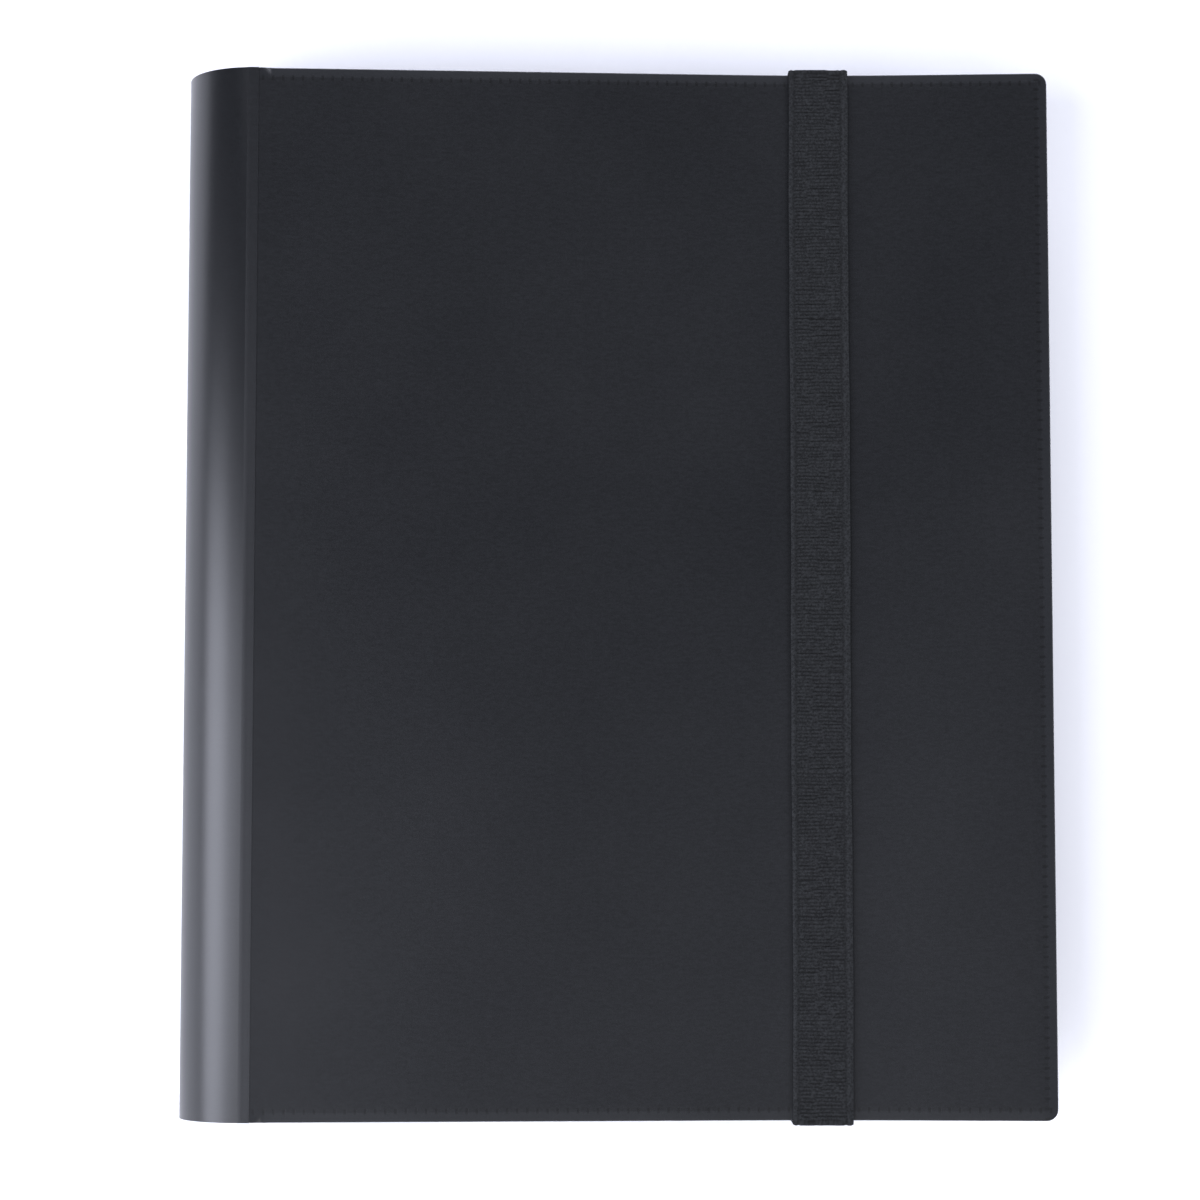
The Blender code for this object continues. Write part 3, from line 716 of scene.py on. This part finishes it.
STRAP_TOP = 1.15 * MM             # height of the ribs over the band's inner face
RIBS_ASIDE = 0.4 * MM             # the ribbed part lies a little nearer the spine
STRAP_TUCK = 1.2 * MM             # how far each end goes into the back cover's rim
STRAP_THICKNESS = 1.1 * MM
STRAP_CORE = 0.7 * MM             # thickness of the band under its ribs
EDGE_ROUND = 0.35 * MM            # how far the strap's long edges fall away
WAVES = ((0.10 * MM, 23 * MM), (0.05 * MM, 7 * MM))   # sideways play, as (width, run)
FURROW_DEPTHS = (0.6, 1.0)        # shallowest and deepest, as shares of the rib height
ROWS_PER_RIB = 4
STRAP_COLUMNS = 24


def strap_path():
    """Half of the strap's inner face, from the middle of the front to the back cover's rim, as
    stretches of (length, function from the distance along it to (y, z, outward y, outward z))."""
    face_z = STRAP_HIGH[2] - STRAP_THICKNESS
    face_y = STRAP_HIGH[1] - STRAP_THICKNESS
    bend = 0.45 * MM
    tuck = 0.9 * MM
    foot_z = BACK_AXIS_Z + tuck
    quarter = math.pi / 2

    def over_front(s):
        return s, face_z, 0.0, 1.0

    def over_edge(s):
        a = s / bend
        return face_y - bend + bend * math.sin(a), face_z - bend + bend * math.cos(a), \
            math.sin(a), math.cos(a)

    def down(s):
        return face_y, face_z - bend - s, 1.0, 0.0

    def under(s):
        a = s / tuck
        return face_y - tuck + tuck * math.cos(a), foot_z - tuck * math.sin(a), \
            math.cos(a), -math.sin(a)

    def into_rim(s):
        return face_y - tuck - s, foot_z - tuck, 0.0, -1.0

    return [
        (face_y - bend, over_front),
        (bend * quarter, over_edge),
        (face_z - bend - foot_z, down),
        (tuck * quarter, under),
        (STRAP_TUCK, into_rim),
    ]


def along_strap(path, s):
    """Point and outward direction at distance s from the middle of the front."""
    sign = -1.0 if s < 0 else 1.0
    left = abs(s)
    for length, shape in path:
        if left <= length or shape is path[-1][1]:
            y, z, out_y, out_z = shape(min(left, length))
            return sign * y, z, sign * out_y, out_z
        left -= length


class RibPattern:
    """Heights of the elastic's cross ribs, which break and shift from group to group."""

    def __init__(self, count, seed):
        rng = random.Random(seed)
        self.ribs = []
        while len(self.ribs) < count + 2:
            split = rng.uniform(-0.55, 0.55)
            shift = rng.choice((0.25, 0.5, 0.5, 0.75))
            tilt = rng.uniform(-0.22, 0.22)
            for _ in range(rng.randint(2, 6)):
                left = rng.uniform(*FURROW_DEPTHS)
                right = rng.uniform(*FURROW_DEPTHS)
                gaps = [rng.uniform(-1, 1) for _ in range(rng.randint(1, 3))]
                self.ribs.append((split + rng.uniform(-0.1, 0.1), shift, tilt, left, right, gaps))

    def depth(self, across, turns):
        """0 on a rib to 1 in a furrow, across the ribbed part (-1 to 1) and along it in ribs."""
        split, shift, tilt, left, right, gaps = self.ribs[int(turns) % len(self.ribs)]
        right_share = smoothstep(across, split - 0.06, split + 0.06)
        phase = turns + tilt * across
        furrows = [math.exp(-((0.5 - abs((phase + move) % 1 - 0.5)) / 0.2) ** 2)
                   for move in (0.0, shift)]
        depth = (1 - right_share) * left * furrows[0] + right_share * right * furrows[1]
        for gap in gaps:
            depth *= 1 - 0.85 * math.exp(-((across - gap) / 0.09) ** 2)
        return depth


class BINDER_OT_strap(bpy.types.Operator):
    """Model the ribbed elastic strap round the front cover"""

    bl_idname = "binder.strap"
    bl_label = "Elastic strap"

    def execute(self, context):
        sizes = context.scene.binder_sizes
        path = strap_path()
        half = sum(length for length, _ in path)
        ribs = round(2 * half / sizes.rib_pitch)
        width = STRAP_HIGH[0] - STRAP_LOW[0]
        bpy.ops.mesh.primitive_grid_add(x_subdivisions=STRAP_COLUMNS,
                                        y_subdivisions=ribs * ROWS_PER_RIB, size=1.0,
                                        location=(STRAP_X, 0, 0))
        bpy.context.object.scale = (width, 2 * half, 1.0)
        strap = take_new("elastic_strap_band")
        pattern = RibPattern(ribs, seed=11)
        ribbed_half = width / 2 - sizes.selvedge
        # per point, how much painted shade the strap gets in its furrows and along its seam lines
        furrow = strap.data.attributes.new("furrow", "FLOAT", "POINT")
        for vert in strap.data.vertices:
            u, s = vert.co.x - STRAP_X, vert.co.y
            y, z, out_y, out_z = along_strap(path, s)
            off_ribs = abs(u + RIBS_ASIDE) - ribbed_half
            inside = smoothstep(-off_ribs, -0.1 * MM, 0.5 * MM)
            turns = (s + half) / sizes.rib_pitch
            depth = inside * pattern.depth(u / ribbed_half, turns)
            seam = math.exp(-((off_ribs - 0.3 * MM) / (0.3 * MM)) ** 2)
            edge = smoothstep(abs(u), width / 2 - 0.6 * MM, width / 2)
            lift = STRAP_TOP - sizes.rib_height * max(depth, 0.7 * seam) - EDGE_ROUND * edge
            wave = sum(sway * math.sin(s / run) for sway, run in WAVES)
            furrow.data[vert.index].value = max(depth, 0.45 * seam)
            vert.co = (vert.co.x + wave, y + out_y * lift, z + out_z * lift)
        if strap.data.polygons[len(strap.data.polygons) // 2].normal.z < 0:
            edit_all(strap)
            bpy.ops.mesh.flip_normals()
            leave_edit()
        thicken_inwards(strap, STRAP_CORE)
        smooth(strap, 80)
        finish(strap, "strap", "elastic", material("elastic"), "elastic_strap")
        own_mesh(strap)
        dress_nodes("elastic", "strap_tail_head", "strap_tail_foot")
        dress_nodes("satin_nickel", "strap_plate_head", "strap_plate_foot")
        return {"FINISHED"}


# ---------------------------------------------------------------- ring mechanism

def add_wire(name, knots, radius):
    """A round wire through Bezier knots, each (point, handle before, handle after) in X and Z."""
    bpy.ops.curve.primitive_bezier_curve_add()
    wire = bpy.context.object
    spline = wire.data.splines[0]
    spline.bezier_points.add(len(knots) - 2)
    for point, (at, before, after) in zip(spline.bezier_points, knots):
        point.handle_left_type = "FREE"
        point.handle_right_type = "FREE"
        point.co = (at[0], 0, at[1])
        point.handle_left = (before[0], 0, before[1])
        point.handle_right = (after[0], 0, after[1])
    wire.data.dimensions = "3D"
    wire.data.resolution_u = 16
    wire.data.bevel_depth = radius
    wire.data.bevel_resolution = 6
    wire.data.use_fill_caps = True
    only(wire)
    bpy.ops.object.convert(target="MESH")
    wire = take_new(name)
    edit_all(wire)
    bpy.ops.mesh.remove_doubles(threshold=0.002 * MM)
    bpy.ops.mesh.normals_make_consistent(inside=False)
    leave_edit()
    return wire


def ring_knots(side):
    """Middle line of a ring half, from the housing's middle: side -1 is next to the spine."""
    low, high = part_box("left_ring_1")
    radius = bpy.context.scene.binder_sizes.wire / 2
    foot_z, top_z = low[2], high[2] - radius
    leg = side * 9 * MM
    tip = side * 0.15 * MM
    if side < 0:
        bow, bow_z = low[0] + radius - RINGS_X, 21 * MM
        return [
            ((leg, foot_z), (leg, foot_z), (leg, foot_z + 6 * MM)),
            ((bow, bow_z), (bow, bow_z - 5 * MM), (bow, bow_z + 6 * MM)),
            ((tip, top_z), (tip - 6.5 * MM, top_z), (tip, top_z)),
        ]
    corner = 6 * MM
    handle = corner * 0.55
    return [
        ((leg, foot_z), (leg, foot_z), (leg, foot_z + 4 * MM)),
        ((leg, top_z - corner), (leg, top_z - corner - 4 * MM), (leg, top_z - corner + handle)),
        ((leg - corner, top_z), (leg - corner + handle, top_z), (leg - corner - 1 * MM, top_z)),
        ((tip, top_z), (tip + 1 * MM, top_z), (tip, top_z)),
    ]


class BINDER_OT_rings(bpy.types.Operator):
    """Model the wire halves of the D rings"""

    bl_idname = "binder.rings"
    bl_label = "Rings"

    def execute(self, context):
        radius = context.scene.binder_sizes.wire / 2
        for label, side in (("left", -1), ("right", 1)):
            wire = add_wire(f"{label}_ring_wire", ring_knots(side), radius)
            round_edges(wire, 0.3 * MM, angle=60)
            smooth(wire, 40)
            for number in range(1, 5):
                node = f"{label}_ring_{number}"
                low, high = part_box(node)
                half = wire if number == 4 else wire.copy()
                if number < 4:
                    half.data = wire.data.copy()
                    context.scene.collection.objects.link(half)
                half.name = f"{node}_wire"
                half.location = (RINGS_X, (low[1] + high[1]) / 2, 0)
                only(half)
                bpy.ops.object.transform_apply(location=True, rotation=True, scale=True)
                finish(half, f"{label}_rings", "nickel_steel", material("nickel"), node)
        return {"FINISHED"}


TURN_STEPS = 48


def add_turned(name, profile, centre):
    """A turned piece round an upright line, from its profile of (radius, height), top to bottom."""
    bpy.ops.mesh.primitive_plane_add(size=0.2 * MM, location=(profile[0][0], 0, profile[0][1]))
    piece = take_new(name)
    edit_all(piece)
    bpy.ops.mesh.select_mode(type="VERT")
    bpy.ops.mesh.select_all(action="SELECT")
    bpy.ops.mesh.merge(type="CENTER")
    for (radius, height), (next_radius, next_height) in zip(profile, profile[1:]):
        move = (next_radius - radius, 0, next_height - height)
        bpy.ops.mesh.extrude_region_move(TRANSFORM_OT_translate={"value": move})
    bpy.ops.mesh.select_all(action="SELECT")
    bpy.ops.mesh.spin(steps=TURN_STEPS, angle=2 * math.pi, center=(0, 0, 0), axis=(0, 0, 1))
    bpy.ops.mesh.select_all(action="SELECT")
    bpy.ops.mesh.remove_doubles(threshold=0.002 * MM)
    bpy.ops.mesh.normals_make_consistent(inside=False)
    bpy.ops.transform.translate(value=centre)
    leave_edit()
    return smooth(piece, 35)


class BINDER_OT_mechanism(bpy.types.Operator):
    """Model the housing, blades, levers, pins and rivets of the ring mechanism"""

    bl_idname = "binder.mechanism"
    bl_label = "Ring mechanism"

    def execute(self, context):
        housing = copy_node("ring_housing", "ring_housing_arch")
        round_edges(housing, 0.18 * MM, angle=25)
        smooth(housing, 35)
        apply_modifier(housing, "WEIGHTED_NORMAL", keep_sharp=True)
        finish(housing, "back_cover", "nickel_steel", material("nickel"), "ring_housing")
        for side in ("left", "right"):
            blade = copy_node(f"{side}_blade", f"{side}_blade_plate")
            round_edges(blade, 0.2 * MM)
            smooth(blade)
            finish(blade, f"{side}_rings", "nickel_steel", material("satin_nickel"),
                   f"{side}_blade")
        for end in ("head", "foot"):
            lever = copy_node(f"{end}_lever", f"{end}_lever_tab")
            round_edges(lever, 0.25 * MM, angle=30)
            smooth(lever, 40)
            finish(lever, f"{end}_lever", "nickel_steel", material("nickel"), f"{end}_lever")
            self.add_pin(end)
            self.add_rivet(end)
        return {"FINISHED"}

    def add_pin(self, end):
        low, high = (Vector(corner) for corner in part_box(f"{end}_lever_pin"))
        bpy.ops.mesh.primitive_cylinder_add(vertices=32, radius=(high.z - low.z) / 2,
                                            depth=high.x - low.x, location=(low + high) / 2,
                                            rotation=(0, math.pi / 2, 0))
        pin = take_new(f"{end}_lever_pin_rod")
        round_edges(pin, 0.3 * MM, segments=3)
        smooth(pin)
        finish(pin, "back_cover", "nickel_steel", material("satin_nickel"), f"{end}_lever_pin")

    def add_rivet(self, end):
        low, high = (Vector(corner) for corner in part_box(f"{end}_rivet"))
        cap, post, shank = 4.0 * MM, 2.7 * MM, 2.0 * MM
        cap_height = neck = 1.5 * MM
        cap_foot = high.z - cap_height
        head = (high.x - low.x) / 2
        head_top = low.z + 0.9 * MM
        post_foot = PANEL + 0.3 * MM
        dome = [(cap * math.sin(turn), cap_foot + cap_height * math.cos(turn))
                for turn in (math.radians(degrees) for degrees in range(0, 91, 10))]
        profile = dome + [
            (shank, cap_foot), (shank, cap_foot - neck), (post, cap_foot - neck),
            (post, post_foot), (shank, post_foot), (shank, head_top),
            (head, head_top), (head, low.z), (0.0, low.z),
        ]
        centre = ((low.x + high.x) / 2, (low.y + high.y) / 2, 0)
        rivet = add_turned(f"{end}_rivet_post", profile, centre)
        finish(rivet, "back_cover", "nickel_steel", material("nickel"), f"{end}_rivet")


# ---------------------------------------------------------------- stage

FLOOR_DROP = 0.02 * MM            # keeps the floor from flickering through the back cover
WORLD_COLOUR, WORLD_STRENGTH = "D8DDEA", 0.07
CAMERA_PLACE = (0.0015, -0.0792, 0.9574)
CAMERA_TURN = (0.0823, 0.0068, 0.0003)
CAMERA_LENS = 91.87               # mm, on a sensor 36 mm wide

# name, place, target, (width, height), watts, colour
LIGHTS = (
    ("left_softbox", (-1.15, -0.36, 0.62), (0, -0.36, 0.0), (1.15, 0.75), 24.0, "EDF0FF"),
    ("left_upper_softbox", (-0.75, -0.42, 1.25), (0, -0.36, 0), (1.2, 0.85), 14.0, "EDF0FF"),
    ("front_softbox", (0.1, -1.45, 1.15), (0, 0, 0), (1.3, 0.9), 14.0, "FFFFFF"),
    ("back_fill", (0.3, 1.7, 1.0), (0.1, 0, 0), (1.4, 1.0), 27.0, "EEF1FF"),
    ("right_fill", (1.6, 0.1, 1.0), (0.1, 0, 0), (1.4, 1.0), 30.0, "EEF1FF"),
    ("overhead_panel", (0.25, -0.62, 1.7), (0.25, -0.62, 0), (1.4, 1.1), 1.5, "EEF1FF"),
)


def add_area_light(name, place, target, size, energy, colour):
    light = bpy.data.lights.new(name, "AREA")
    light.shape = "RECTANGLE"
    light.size, light.size_y = size
    light.energy = energy
    light.color = hex_colour(colour)[:3]
    lamp = bpy.data.objects.new(name, light)
    lamp.location = place
    aim = Vector(target) - Vector(place)
    lamp.rotation_euler = aim.to_track_quat("-Z", "Y").to_euler()
    bpy.context.scene.collection.objects.link(lamp)


class BINDER_OT_stage(bpy.types.Operator):
    """Add the floor, the soft lights and the camera"""

    bl_idname = "binder.stage"
    bl_label = "Stage"

    def execute(self, context):
        bpy.ops.mesh.primitive_plane_add(size=6.0, location=(0, 0, -FLOOR_DROP))
        floor = take_new("floor")
        paper, tree, shader = new_material("white_paper_floor")
        fibre = add_node(tree, "ShaderNodeTexNoise", {"Vector": object_point(tree),
                                                      "Scale": per_mm(3.0), "Detail": 2.0})
        colour = context.scene.binder_finish.floor
        tint = mix_colours(tree, fibre.outputs["Fac"], scaled(colour, 0.985), colour)
        tree.links.new(tint, shader.inputs["Base Color"])
        set_shader(shader, Roughness=0.7, Specular_IOR_Level=0.13)
        floor.data.materials.append(paper)

        world = bpy.data.worlds.new("dim_studio")
        world.use_nodes = True
        background = world.node_tree.nodes["Background"]
        background.inputs["Color"].default_value = hex_colour(WORLD_COLOUR)
        background.inputs["Strength"].default_value = WORLD_STRENGTH
        context.scene.world = world

        for light in LIGHTS:
            add_area_light(*light)
        context.scene.view_settings.view_transform = "Standard"

        camera_data = bpy.data.cameras.new("camera")
        camera_data.lens = CAMERA_LENS
        camera_data.sensor_width = 36.0
        camera_data.clip_end = 20.0
        camera = bpy.data.objects.new("camera", camera_data)
        camera.location = CAMERA_PLACE
        camera.rotation_euler = CAMERA_TURN
        context.scene.collection.objects.link(camera)
        context.scene.camera = camera
        return {"FINISHED"}


class BINDER_PT_panel(bpy.types.Panel):
    """Lists the steps that model the binder"""

    bl_idname = "BINDER_PT_panel"
    bl_label = "Ring Binder"
    bl_space_type = "VIEW_3D"
    bl_region_type = "UI"
    bl_category = "Binder"

    def draw(self, context):
        for group in (context.scene.binder_sizes, context.scene.binder_finish):
            for name in group.__annotations__:
                self.layout.prop(group, name)
        for operator in OPERATORS:
            self.layout.operator(operator.bl_idname)


GROUPS = (BinderSizes, BinderFinish)
OPERATORS = (BINDER_OT_stage, BINDER_OT_covers, BINDER_OT_spine, BINDER_OT_creases,
             BINDER_OT_strap, BINDER_OT_rings, BINDER_OT_mechanism)


def register():
    for cls in (*GROUPS, *OPERATORS, BINDER_PT_panel):
        bpy.utils.register_class(cls)
    bpy.types.Scene.binder_sizes = PointerProperty(type=BinderSizes)
    bpy.types.Scene.binder_finish = PointerProperty(type=BinderFinish)


def unregister():
    del bpy.types.Scene.binder_sizes
    del bpy.types.Scene.binder_finish
    for cls in reversed((*GROUPS, *OPERATORS, BINDER_PT_panel)):
        bpy.utils.unregister_class(cls)


def main():
    register()
    bpy.ops.binder.stage()
    bpy.ops.binder.covers()
    bpy.ops.binder.spine()
    bpy.ops.binder.creases()
    bpy.ops.binder.strap()
    bpy.ops.binder.rings()
    bpy.ops.binder.mechanism()


if __name__ == "__main__":
    main()
